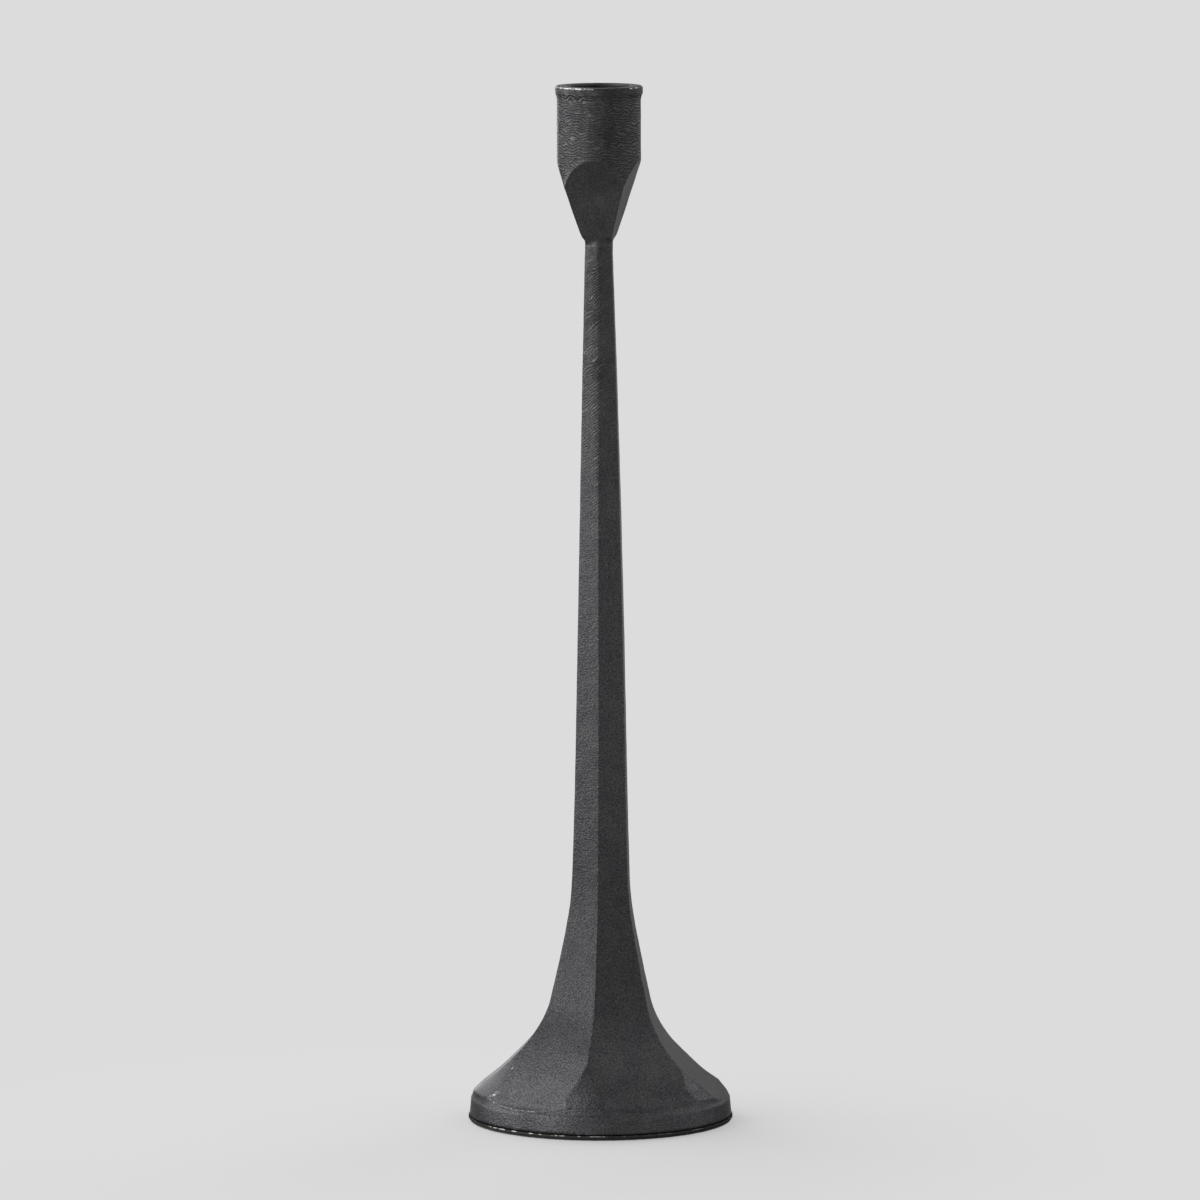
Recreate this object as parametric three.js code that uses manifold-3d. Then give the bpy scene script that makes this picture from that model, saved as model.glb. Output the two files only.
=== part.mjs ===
// Taper candle holder: a cast iron cup, a six-sided stem and a flared foot, screwed together.
// Millimetres, +Z up. The foot stands on z = 0 and the axis of the stem is the Z axis.
import * as THREE from 'three';
import { mergeVertices } from 'three/addons/utils/BufferGeometryUtils.js';
import Module from 'manifold-3d';

const wasm = await Module();
wasm.setup();

// Whole holder
const height = 380;
const footRadius = 48.5;
const candleBore = 22.6;

// Fits between the pieces
const clearance = 0.3;
const roundSteps = 96;
const smallRoundSteps = 32;

// Every cut runs on this far past the surface that it starts from
const past = 1;

// Stack of the foot, from the table up, and the two joints above it
const padThickness = 0.8;
const plateThickness = 1;
const castingHeight = 82.2;
const cupLength = 58.5;
const castingFloor = padThickness + plateThickness;
const stemSeat = castingFloor + castingHeight;
const neck = height - cupLength;

// Foot casting: the lip of the plate stands a little proud of its band
const lipProud = 0.4;
const bandRadius = footRadius - lipProud;
const bandDraft = 0.58;
const bandHeight = 6.6;
const shoulderBend = 0.09;
const wall = 5;
const roofThickness = 24;
const socketRadius = 6;
const socketDepth = 8;

// Apothem of the six-sided stem at its root and at the neck
const stemRoot = 10.5;
const stemTop = 4.95;

// Six faces of the foot and stem: direction from the front towards +X, and reach from the axis
const faces = [
  { turn: -38.5, reach: 0.97 },
  { turn: 25, reach: 0.97 },
  { turn: 86, reach: 0.985 },
  { turn: 144, reach: 1 },
  { turn: 203, reach: 1 },
  { turn: 263, reach: 1.01 },
];

// The stem is bowed to one side and the flare leans to the other, as they came out of the mould
const bow = 0.65;
const lean = 1.14;
const leanHeight = 50;
const leanLow = 0.7;

// Cup: the scoops are four flats that run from the neck up to the round wall
const cupRadius = 15.3;
const lipRadius = 16;
const lipDepth = 2.6;
const lipCove = 3;
const edgeRound = 0.5;
const boreDepth = 24;
const boreFillet = 1.2;
const neckApothem = 4.5;
const neckRadius = 5.6;
const scoopLength = 33;
const scoopTurn = -10.5;
const scoopFaces = [0, 90, 180, 270].map((turn) => ({ turn: scoopTurn + turn, reach: 1 }));

// Screws and washers
const tieRadius = 3;
const tieHeadAcross = 10;
const tieHeadHeight = 4;
const tieInStem = 16;
const flatWasher = { radius: 6, thickness: 1.6 };
const lockWasher = { radius: 5.5, thickness: 1.6, gap: 14 };
const studRadius = 2.5;
const studInStem = 13.5;
const studInCup = 13.5;
const tip = 0.6;

// Dish of the base plate, which hides the head of the tie bolt
const dishUnderside = 10;
const dishRadius = 13;
const dishFoot = 16.8;
const padHole = 18;
const plateEdge = 0.25;

const v2 = (x, y) => new THREE.Vector2(x, y);
const { lerp } = THREE.MathUtils;

// A closed three.js geometry as a solid that can be cut and joined
function solid(geometry) {
  const bare = geometry.clone();
  bare.deleteAttribute('normal');
  bare.deleteAttribute('uv');
  const merged = mergeVertices(bare, 1e-4);
  const mesh = new wasm.Mesh({
    numProp: 3,
    vertProperties: new Float32Array(merged.attributes.position.array),
    triVerts: new Uint32Array(merged.index.array),
  });
  return new wasm.Manifold(mesh);
}

// A cut or joined solid as a three.js geometry
function geometryOf(body) {
  const mesh = body.getMesh();
  const geometry = new THREE.BufferGeometry();
  geometry.setAttribute('position', new THREE.BufferAttribute(mesh.vertProperties, 3));
  geometry.setIndex(new THREE.BufferAttribute(mesh.triVerts, 1));
  geometry.computeVertexNormals();
  return geometry;
}

// A profile of (radius, height) points turned round the Z axis
function turned(profile, steps = roundSteps) {
  return new THREE.LatheGeometry(profile, steps).rotateX(Math.PI / 2);
}

// A round bar between two heights
function bar(radius, bottom, top, steps = smallRoundSteps) {
  return turned([v2(0, bottom), v2(radius, bottom), v2(radius, top), v2(0, top)], steps);
}

// A hole with the cone that a drill leaves at its end
function drilled(radius, mouth, end) {
  const cone = Math.sign(end - mouth) * radius * 0.5;
  const profile = [v2(0, mouth), v2(radius, mouth), v2(radius, end), v2(0, end + cone)];
  return solid(turned(mouth < end ? profile : profile.reverse(), smallRoundSteps));
}

// A smooth outline between two (radius, height) ends, through points given as shares of the way
function outline(from, to, shares) {
  const point = ([f, g]) => v2(lerp(from.x, to.x, f), lerp(from.y, to.y, g));
  return new THREE.SplineCurve(shares.map(point));
}

// Corners of a many-sided section whose faces lie at one apothem, each scaled by its reach
function corners(apothem, sides, z, shift) {
  return sides.map((side, i) => {
    const next = sides[(i + 1) % sides.length];
    const [a, b] = [side.turn, next.turn].map(THREE.MathUtils.degToRad);
    const [da, db] = [side.reach * apothem, next.reach * apothem];
    const span = Math.sin(b - a);
    const x = (db * Math.cos(a) - da * Math.cos(b)) / span;
    const y = (db * Math.sin(a) - da * Math.sin(b)) / span;
    return new THREE.Vector3(x + shift, y, z);
  });
}

// A closed body through rings of equal count, from the lowest to the highest
function loft(rings) {
  const count = rings[0].length;
  const top = (rings.length - 1) * count;
  const index = [];
  for (let ring = 0; ring < top; ring += count) {
    for (let i = 0; i < count; i += 1) {
      const a = ring + i;
      const b = ring + ((i + 1) % count);
      index.push(a, b, b + count, a, b + count, a + count);
    }
  }
  for (let i = 1; i < count - 1; i += 1) {
    index.push(0, i + 1, i);
    index.push(top, top + i, top + i + 1);
  }
  const geometry = new THREE.BufferGeometry().setFromPoints(rings.flat());
  geometry.setIndex(index);
  return geometry;
}

// Sideways shift of a section of the foot or stem, nothing at the table and at the neck
function bowAt(z) {
  const share = (end) => THREE.MathUtils.clamp((z - castingFloor) / (end - castingFloor), 0, 1);
  const leaning = Math.sin(Math.PI * share(leanHeight) ** leanLow) ** 2;
  return bow * Math.sin(Math.PI * share(neck)) - lean * leaning;
}

const bandFoot = v2(bandRadius, castingFloor);
const stemFoot = v2(stemRoot, stemSeat);
const stemHead = v2(stemTop, neck);

// Faces of the foot: apothem against height, a scoop that eases into the straight flare
const footScoop = outline(bandFoot, stemFoot, [
  [-0.196, 0],
  [-0.159, 0.07],
  [0.049, 0.1],
  [0.179, 0.145],
  [0.383, 0.222],
  [0.623, 0.343],
  [0.772, 0.465],
  [0.847, 0.599],
  [0.938, 0.805],
  [0.983, 0.927],
  [1, 1],
]);

// Turned form that the faces are cut from: band, shoulder and shallow cone
function footRound() {
  const bandTop = v2(bandRadius - bandDraft, castingFloor + bandHeight);
  const cone = outline(bandFoot, stemFoot, [
    [0.039, 0.12],
    [0.178, 0.165],
    [0.297, 0.222],
    [0.391, 0.274],
    [0.497, 0.355],
  ]).getPoints(12);
  const corner = v2(bandTop.x - bandDraft, lerp(bandTop.y, cone[0].y, shoulderBend));
  const shoulder = new THREE.QuadraticBezierCurve(bandTop, corner, cone[0]);
  const core = cone.at(-1).x;
  return [
    v2(0, castingFloor),
    bandFoot,
    ...shoulder.getPoints(6),
    ...cone.slice(1),
    v2(core, stemSeat),
    v2(0, stemSeat),
  ];
}

// Hollow of the foot, one wall inside the faces, up to the roof that the bolt goes through
function footHollow() {
  const roof = stemSeat - roofThickness;
  const least = Math.min(...faces.map((face) => face.reach));
  const inner = (p) => v2(Math.min(p.x * least, bandRadius) - wall, p.y);
  const sides = footScoop.getPoints(22).filter((p) => p.y < roof).map(inner);
  const mouth = v2(sides[0].x, castingFloor - past);
  return [v2(0, mouth.y), mouth, ...sides, v2(sides.at(-1).x, roof), v2(0, roof)];
}

function footCasting() {
  const rings = footScoop.getPoints(44).map((p) => corners(p.x, faces, p.y, bowAt(p.y)));
  const outside = solid(loft(rings)).intersect(solid(turned(footRound())));
  const roof = stemSeat - roofThickness;
  const socketFloor = stemSeat - socketDepth - clearance;
  const boltHole = solid(bar(tieRadius + clearance, roof - past, stemSeat));
  const socket = solid(bar(socketRadius + clearance, socketFloor, stemSeat + past));
  return outside.subtract(solid(turned(footHollow()))).subtract(boltHole).subtract(socket);
}

function stemBar() {
  const taper = outline(stemFoot, stemHead, [
    [0, 0],
    [0.072, 0.034],
    [0.225, 0.168],
    [0.441, 0.434],
    [0.73, 0.754],
    [0.892, 0.901],
    [1, 1],
  ]);
  const rings = taper.getPoints(36).map((p) => corners(p.x, faces, p.y, bowAt(p.y)));
  const spigotEnd = stemSeat - socketDepth;
  const spigot = solid(bar(socketRadius, spigotEnd, stemSeat + past));
  const tieHole = drilled(tieRadius + clearance, spigotEnd - past, stemSeat + tieInStem + clearance);
  const studHole = drilled(studRadius + clearance, neck + past, neck - studInStem - clearance);
  return solid(loft(rings)).add(spigot).subtract(tieHole).subtract(studHole);
}

// Turned outside of the cup: collar at the neck, straight wall, and a cove under the thick lip
function cupRound() {
  const lipFoot = height - lipDepth;
  const cove = new THREE.QuadraticBezierCurve(
    v2(cupRadius, lipFoot - lipCove),
    v2(cupRadius, lipFoot - lipCove / 2),
    v2(lipRadius, lipFoot),
  );
  return [
    v2(0, neck),
    v2(neckRadius, neck),
    v2(0.6 * cupRadius, neck + 0.15 * scoopLength),
    v2(cupRadius, neck + 0.5 * scoopLength),
    ...cove.getPoints(6),
    v2(lipRadius, height - edgeRound),
    v2(lipRadius - edgeRound, height),
    v2(0, height),
  ];
}

function candleBoreCut() {
  const floor = height - boreDepth;
  const radius = candleBore / 2;
  const fillet = new THREE.QuadraticBezierCurve(
    v2(radius - boreFillet, floor),
    v2(radius, floor),
    v2(radius, floor + boreFillet),
  );
  return [
    v2(0, floor),
    ...fillet.getPoints(4),
    v2(radius, height - edgeRound),
    v2(radius + edgeRound + past, height + past),
    v2(0, height + past),
  ];
}

function cupCasting() {
  const scoop = outline(v2(neckApothem, neck), v2(1.033 * cupRadius, neck + scoopLength), [
    [0, 0],
    [0.146, 0.179],
    [0.339, 0.4],
    [0.519, 0.621],
    [0.63, 0.73],
    [0.77, 0.842],
    [1, 1],
  ]);
  const rings = scoop.getPoints(20).map((p) => corners(p.x, scoopFaces, p.y, 0));
  rings.push(corners(2 * lipRadius, scoopFaces, lerp(rings.at(-1)[0].z, height, 0.3), 0));
  rings.push(corners(2 * lipRadius, scoopFaces, height + past, 0));
  const studHole = drilled(studRadius + clearance, neck - past, neck + studInCup + clearance);
  const outside = solid(loft(rings)).intersect(solid(turned(cupRound())));
  return outside.subtract(solid(turned(candleBoreCut()))).subtract(studHole);
}

// Steel disc under the casting: its edge stands proud as the foot's lip, its middle is pressed up
function basePlate() {
  const top = castingFloor;
  const under = padThickness;
  const edge = plateEdge;
  const hole = tieRadius + clearance;
  const slant = plateThickness / 2;
  return turned([
    v2(hole, dishUnderside),
    v2(dishRadius, dishUnderside),
    v2(dishFoot, under),
    v2(footRadius - edge, under),
    v2(footRadius, under + edge),
    v2(footRadius, top - edge),
    v2(footRadius - edge, top),
    v2(dishFoot + slant, top),
    v2(dishRadius + slant, dishUnderside + plateThickness),
    v2(hole, dishUnderside + plateThickness),
    v2(hole, dishUnderside),
  ]);
}

function feltPad() {
  const outer = footRadius - clearance;
  return turned([
    v2(padHole, 0),
    v2(outer - clearance, 0),
    v2(outer, clearance),
    v2(outer, padThickness),
    v2(padHole, padThickness),
    v2(padHole, 0),
  ]);
}

// Stack under the plate's dish, from the dish down
const flatWasherFloor = dishUnderside - flatWasher.thickness;
const lockWasherFloor = flatWasherFloor - lockWasher.thickness;
const tieHeadFloor = lockWasherFloor - tieHeadHeight;

function tieBolt() {
  const end = stemSeat + tieInStem - tieHeadFloor;
  const head = new THREE.CylinderGeometry(1, 1, tieHeadHeight, 6).rotateX(Math.PI / 2);
  const acrossCorners = tieHeadAcross / Math.cos(Math.PI / 6) / 2;
  head.scale(acrossCorners, acrossCorners, 1).translate(0, 0, tieHeadHeight / 2);
  const shank = turned([
    v2(0, tip),
    v2(tieRadius, tip),
    v2(tieRadius, end - tip),
    v2(tieRadius - tip, end),
    v2(0, end),
  ], smallRoundSteps);
  return geometryOf(solid(head).add(solid(shank)));
}

function ring(outer, thickness) {
  const hole = tieRadius + clearance;
  return turned([v2(hole, 0), v2(outer, 0), v2(outer, thickness), v2(hole, thickness), v2(hole, 0)]);
}

// A spring washer: a ring that is split across by a narrow gap
function splitRing(outer, thickness, gapDegrees) {
  const half = THREE.MathUtils.degToRad(gapDegrees / 2);
  const shape = new THREE.Shape();
  shape.absarc(0, 0, outer, half, 2 * Math.PI - half, false);
  shape.absarc(0, 0, tieRadius + clearance, 2 * Math.PI - half, half, true);
  shape.closePath();
  return new THREE.ExtrudeGeometry(shape, { depth: thickness, bevelEnabled: false, curveSegments: 24 });
}

function neckStud() {
  const length = studInStem + studInCup;
  return turned([
    v2(0, 0),
    v2(studRadius - tip, 0),
    v2(studRadius, tip),
    v2(studRadius, length - tip),
    v2(studRadius - tip, length),
    v2(0, length),
  ], smallRoundSteps);
}

const material = (color, roughness, metalness) =>
  new THREE.MeshStandardMaterial({ color, roughness, metalness });
const castIron = () => material(0x4a4b4d, 0.62, 0.85);
const blackedSteel = () => material(0x303133, 0.5, 0.9);
const zincSteel = () => material(0xa9adb0, 0.4, 1);
const blackFelt = () => material(0x1c1b1b, 0.95, 0);

const holder = new THREE.Group();

function place(name, geometry, look, z = 0) {
  const mesh = new THREE.Mesh(geometry, look);
  mesh.name = name;
  mesh.position.z = z;
  holder.add(mesh);
}

place('felt_pad', feltPad(), blackFelt());
place('base_plate', basePlate(), blackedSteel());
place('base', geometryOf(footCasting()), castIron());
place('stem', geometryOf(stemBar()), castIron());
place('candle_cup', geometryOf(cupCasting()), castIron());
place('neck_stud', neckStud(), zincSteel(), neck - studInStem);
place('tie_bolt', tieBolt(), zincSteel(), tieHeadFloor);
const lockRing = splitRing(lockWasher.radius, lockWasher.thickness, lockWasher.gap);
place('lock_washer', lockRing, zincSteel(), lockWasherFloor);
place('flat_washer', ring(flatWasher.radius, flatWasher.thickness), zincSteel(), flatWasherFloor);

export default holder;
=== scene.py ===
import math

import bpy
import numpy as np
from mathutils import Matrix, Vector


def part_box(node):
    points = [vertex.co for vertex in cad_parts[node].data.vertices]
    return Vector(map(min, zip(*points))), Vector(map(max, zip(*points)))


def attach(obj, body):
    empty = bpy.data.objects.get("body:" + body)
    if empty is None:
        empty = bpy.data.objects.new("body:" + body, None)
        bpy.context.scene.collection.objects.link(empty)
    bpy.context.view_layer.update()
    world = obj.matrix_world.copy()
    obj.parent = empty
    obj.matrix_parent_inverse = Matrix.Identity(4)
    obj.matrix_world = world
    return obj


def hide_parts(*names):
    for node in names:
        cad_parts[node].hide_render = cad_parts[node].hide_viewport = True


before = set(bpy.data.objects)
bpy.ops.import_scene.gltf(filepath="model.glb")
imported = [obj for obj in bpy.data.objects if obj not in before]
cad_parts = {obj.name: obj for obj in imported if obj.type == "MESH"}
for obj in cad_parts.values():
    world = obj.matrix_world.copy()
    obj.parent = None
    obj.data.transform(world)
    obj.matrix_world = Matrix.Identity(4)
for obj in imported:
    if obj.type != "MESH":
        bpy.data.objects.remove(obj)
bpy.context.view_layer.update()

MM = 0.001

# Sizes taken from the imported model, in metres
foot_low, foot_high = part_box("base")
cup_low, cup_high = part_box("candle_cup")
plate_low, plate_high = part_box("base_plate")
_, pad_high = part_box("felt_pad")
head_low, bolt_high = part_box("tie_bolt")
flat_low, flat_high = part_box("flat_washer")
lock_low, lock_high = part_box("lock_washer")
CASTING_FLOOR = foot_low.z
STEM_SEAT = foot_high.z
NECK = cup_low.z
TOP = cup_high.z
BAND = foot_high.x
LIP = cup_high.x

# Directions of the six faces, from the front towards +X, and their reach from the axis
FACES = [(-38.5, 0.97), (25, 0.97), (86, 0.985), (144, 1.0), (203, 1.0), (263, 1.01)]
# How pale each of these faces is painted higher up, where 0.5 is the plain black skin: a painted light
# and shade, set by the way each face points
FACE_PAINTED_LIGHT = [0.52, 0.7, 0.95, 0.65, 0.5, 0.5]
PLAIN = 0.5
SCOOPS = [(-10.5, 1.0), (79.5, 1.0), (169.5, 1.0), (259.5, 1.0)]
# Which of the faces is the left side, and which of the scoops looks forward
LEFT_SIDE, FRONT_SCOOP = 5, 0

# Stem: size at both ends, the bow to one side, and the flare's lean to the other
STEM_ROOT = 10.5 * MM
STEM_TOP = 4.95 * MM
BOW = 0.65 * MM
LEAN = 1.14 * MM
LEAN_HEIGHT = 50 * MM
LEAN_LOW = 0.7
SPIGOT = 6 * MM
SPIGOT_LENGTH = 8 * MM

# Foot
WALL = 5 * MM
ROOF = 24 * MM
BAND_HEIGHT = 6.6 * MM
BAND_DRAFT = 0.58 * MM
SHOULDER_BEND = 0.09
SHOULDER_TOP = 12 * MM

# Cup
CUP = 15.3 * MM
LIP_DEPTH = 2.6 * MM
COVE = 3 * MM
EDGE = 0.5 * MM
BORE = 11.3 * MM
BORE_DEPTH = 24 * MM
BORE_FILLET = 1.2 * MM
NECK_APOTHEM = 4.5 * MM
NECK_RADIUS = 5.6 * MM
NECK_ROUND = 5.15 * MM
NECK_ROUNDNESS = 0.65
NECK_BLEND = 4 * MM
SCOOP = 33 * MM

BOLT = 3 * MM
FIT = 0.3 * MM

# The slow swells that the rammed sand leaves in all three castings
SWELL = 8 * MM
SWELL_DEPTH = 0.12 * MM

# A cutting form reaches this far past the metal that it cuts
OVERCUT = 1 * MM


def select_only(piece):
    bpy.ops.object.select_all(action="DESELECT")
    piece.select_set(True)
    bpy.context.view_layer.objects.active = piece


def edit(piece):
    select_only(piece)
    bpy.ops.object.mode_set(mode="EDIT")
    bpy.ops.mesh.select_all(action="SELECT")


def done():
    bpy.ops.object.mode_set(mode="OBJECT")


def just_added(name):
    piece = bpy.context.object
    piece.name = name
    piece.data.name = name
    return piece


def between(start, end, share):
    return start + (end - start) * share


def smooth(points, count):
    """Points along a smooth curve that passes through all the given ones."""
    last = len(points) - 1
    out = []
    for step in range(count + 1):
        place = last * step / count
        i = min(int(place), last - 1)
        t = place - i
        a, b, c, d = (Vector(points[max(0, min(last, k))]) for k in (i - 1, i, i + 1, i + 2))
        lean_in, lean_out = (c - a) / 2, (d - b) / 2
        out.append(
            b * (2 * t**3 - 3 * t**2 + 1)
            + c * (3 * t**2 - 2 * t**3)
            + lean_in * (t**3 - 2 * t**2 + t)
            + lean_out * (t**3 - t**2)
        )
    return out


def rounded(start, corner, end, count):
    """Points along a rounded corner."""
    start, corner, end = Vector(start), Vector(corner), Vector(end)
    shares = [step / count for step in range(count + 1)]
    return [start * (1 - t) ** 2 + corner * (2 * t * (1 - t)) + end * t**2 for t in shares]


def outline(start, end, shares, count):
    """A smooth (radius, height) outline through points given as shares of the way."""
    points = [(between(start[0], end[0], f), between(start[1], end[1], g)) for f, g in shares]
    return smooth(points, count)


def bow_at(z):
    """Sideways shift of a section: the stem bows to one side, the flare leans to the other."""

    def share(end):
        return max(0, min(1, (z - CASTING_FLOOR) / (end - CASTING_FLOOR)))

    leaning = math.sin(math.pi * share(LEAN_HEIGHT) ** LEAN_LOW) ** 2
    return BOW * math.sin(math.pi * share(NECK)) - LEAN * leaning


def grow(levels, middle=lambda z: 0):
    """Extrudes the selected section through (size, height) levels, scaled about the middle."""
    size, height = levels[0]
    for next_size, next_height in levels[1:]:
        shift = (middle(next_height) - middle(height), 0, next_height - height)
        bpy.ops.mesh.extrude_region_move(TRANSFORM_OT_translate={"value": shift})
        ratio = next_size / size
        centre = (middle(next_height), 0, next_height)
        bpy.ops.transform.resize(value=(ratio, ratio, 1), center_override=centre)
        size, height = next_size, next_height


def tidy_mesh():
    """Joins doubles and turns every face outwards, in edit mode."""
    bpy.ops.mesh.select_all(action="SELECT")
    bpy.ops.mesh.remove_doubles(threshold=0.002 * MM)
    bpy.ops.mesh.normals_make_consistent(inside=False)


def cut_long_sides(piece, longer_than, cuts):
    """Divides the section's long sides, so that the piece can be smoothed evenly later."""
    done()
    for edge in piece.data.edges:
        ends = [piece.data.vertices[v].co for v in edge.vertices]
        edge.select = (ends[0] - ends[1]).length > longer_than
    for other in (*piece.data.vertices, *piece.data.polygons):
        other.select = False
    bpy.context.tool_settings.mesh_select_mode = (False, True, False)
    bpy.ops.object.mode_set(mode="EDIT")
    bpy.ops.mesh.subdivide(number_cuts=cuts)
    bpy.ops.mesh.select_all(action="SELECT")
    bpy.context.tool_settings.mesh_select_mode = (True, False, False)


def many_sided(name, sides, levels, middle=lambda z: 0, ridge=0.0, cuts=0):
    """A tower whose section is a plate cut to straight sides, with its corners eased."""
    size, height = levels[0]
    bpy.ops.mesh.primitive_plane_add(size=8 * size, location=(middle(height), 0, height))
    piece = just_added(name)
    bpy.ops.object.transform_apply(location=True, rotation=False, scale=False)
    edit(piece)
    for turn, reach in sides:
        out = Vector((math.sin(math.radians(turn)), -math.cos(math.radians(turn)), 0))
        at = Vector((middle(height), 0, height)) + out * size * reach
        bpy.ops.mesh.select_all(action="SELECT")
        bpy.ops.mesh.bisect(plane_co=at, plane_no=out, clear_outer=True)
    bpy.ops.mesh.select_all(action="SELECT")
    if ridge:
        bpy.ops.mesh.bevel(offset=ridge * size, segments=4, affect="VERTICES")
        bpy.ops.mesh.select_all(action="SELECT")
    if cuts:
        cut_long_sides(piece, 0.5 * size, cuts)
    grow(levels, middle)
    tidy_mesh()
    done()
    return piece


def turned(name, profile, steps=128):
    """A turned piece: a ring drawn out along a (radius, height) profile."""
    radius, height = profile[0]
    bpy.ops.mesh.primitive_circle_add(vertices=steps, radius=radius, location=(0, 0, height))
    piece = just_added(name)
    bpy.ops.object.transform_apply(location=True, rotation=False, scale=False)
    edit(piece)
    closed = Vector(profile[0]) == Vector(profile[-1])
    if not closed:
        bpy.ops.mesh.edge_face_add()
    grow(profile)
    tidy_mesh()
    done()
    return piece


def cut(piece, tool, operation="DIFFERENCE"):
    """Cuts or trims a piece with another, which is used up."""
    select_only(piece)
    boolean = piece.modifiers.new("cut", "BOOLEAN")
    boolean.operation = operation
    boolean.solver = "EXACT"
    boolean.object = tool
    bpy.ops.object.modifier_apply(modifier=boolean.name)
    bpy.data.objects.remove(tool)


def ease_in(share):
    """0 up to the start, 1 from the end, and a smooth climb between them."""
    share = max(0, min(1, share))
    return share * share * (3 - 2 * share)


def group(piece, name, weigh):
    """A vertex group with the weight that each place of the piece gets."""
    made = piece.vertex_groups.new(name=name)
    for vertex in piece.data.vertices:
        weight = weigh(vertex.co)
        if weight > 0:
            made.add([vertex.index], weight, "ADD")
    return made.name


def even_skin(piece, cell):
    """Covers a piece with small even faces that keep its arrises."""
    select_only(piece)
    skin = piece.modifiers.new("skin", "REMESH")
    skin.mode = "SHARP"
    skin.octree_depth = 8
    skin.scale = max(piece.dimensions) / (cell * 2**skin.octree_depth)
    skin.use_remove_disconnected = False
    bpy.ops.object.modifier_apply(modifier=skin.name)


def ease(piece, passes, weigh):
    """Rubs the arrises down a little, as the sand and the fettling of a casting leave them."""
    rub = piece.modifiers.new("ease", "SMOOTH")
    rub.factor = 0.5
    rub.iterations = passes
    rub.vertex_group = group(piece, "ease", weigh)
    bpy.ops.object.modifier_apply(modifier=rub.name)


def fit_to(piece, form, weigh):
    """Draws a piece on to another form, which is used up."""
    select_only(piece)
    wrap = piece.modifiers.new("fit", "SHRINKWRAP")
    wrap.target = form
    wrap.vertex_group = group(piece, "fit", weigh)
    bpy.ops.object.modifier_apply(modifier=wrap.name)
    bpy.data.objects.remove(form)


def uneven(piece, size, depth, weigh=lambda co: 1):
    """The slow unevenness that a hand-rammed mould leaves."""
    cloud = bpy.data.textures.new("mould_sand", "CLOUDS")
    cloud.noise_scale = size
    cloud.noise_depth = 1
    select_only(piece)
    swell = piece.modifiers.new("swell", "DISPLACE")
    swell.texture = cloud
    swell.texture_coords = "LOCAL"
    swell.strength = depth
    swell.mid_level = 0.5
    swell.vertex_group = group(piece, "swell", weigh)
    bpy.ops.object.modifier_apply(modifier=swell.name)


def sizes_at(levels, heights):
    """Size of a form at each height, and how upright its side stands there: 1 upright, 0 lying."""
    climb = [levels[0]]
    for size, height in levels[1:]:
        if height > climb[-1][1]:
            climb.append((size, height))
    sizes, steps = np.array(climb).T
    slopes = np.gradient(sizes, steps)
    return np.interp(heights, steps, sizes), 1 / np.hypot(1, np.interp(heights, steps, slopes))


def keep(piece, name, values):
    """Keeps a number for each point of a piece, for its material."""
    kept = piece.data.attributes.new(name, "FLOAT", "POINT")
    kept.data.foreach_set("value", np.asarray(values, dtype=np.float32))


def places_of(piece):
    places = np.empty(3 * len(piece.data.vertices), dtype=np.float32)
    piece.data.vertices.foreach_get("co", places)
    return places.reshape(-1, 3).T


def bearing(x, y):
    """Degrees round from the front, towards +X."""
    return np.degrees(np.arctan2(x, -y))


def fading(distance, width):
    """1 at no distance, falling evenly to 0 at the width."""
    return np.clip(1 - distance / width, 0, 1)


def gaps_at(piece, sides, levels, middle=lambda z: 0):
    """How far each point stands out from each straight side, less than 0 inside it."""
    x, y, z = places_of(piece)
    shift = np.array([middle(height) for height in z])
    size, upright = sizes_at(levels, z)
    gaps = []
    for turn, reach in sides:
        out = math.sin(math.radians(turn)), -math.cos(math.radians(turn))
        gaps.append(((x - shift) * out[0] + y * out[1] - size * reach) * upright)
    return np.array(gaps)


def round_gap(piece, profile):
    """How far each point stands out from a turned form, less than 0 inside it."""
    x, y, z = places_of(piece)
    radius, upright = sizes_at(profile, z)
    return (np.hypot(x, y) - radius) * upright


def depth_from_arris(gaps):
    """How far each point lies from the nearest arris, which is where two sides meet."""
    return -np.sort(gaps, axis=0)[-2]


def near_ring(piece, radius, height, width):
    """1 on a ring round the axis, falling to 0 at the width."""
    x, y, z = places_of(piece)
    return fading(np.hypot(np.hypot(x, y) - radius, z - height), width)


def face_painted_light(piece, gaps):
    """How pale each face of foot and stem is painted: plain low down, each its own higher up, a painted
    light and shade by the way the face points.
    """
    low, rise = 20 * MM, 70 * MM
    z = places_of(piece)[2]
    faces = gaps.argmax(axis=0)
    return PLAIN + (np.array(FACE_PAINTED_LIGHT)[faces] - PLAIN) * np.clip((z - low) / rise, 0, 1)


def linear(code):
    """Turns an sRGB hex value into the linear colour that a shader takes."""
    parts = [int(code[i : i + 2], 16) / 255 for i in (1, 3, 5)]
    return [c / 12.92 if c <= 0.04045 else ((c + 0.055) / 1.055) ** 2.4 for c in parts] + [1]


# Colour inputs and colour output of a Mix node, and its settings to blend or to tint
FIRST, SECOND, MIXED = 6, 7, 2
BLEND = {"data_type": "RGBA"}
TINT = {"data_type": "RGBA", "blend_type": "MULTIPLY"}


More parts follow.
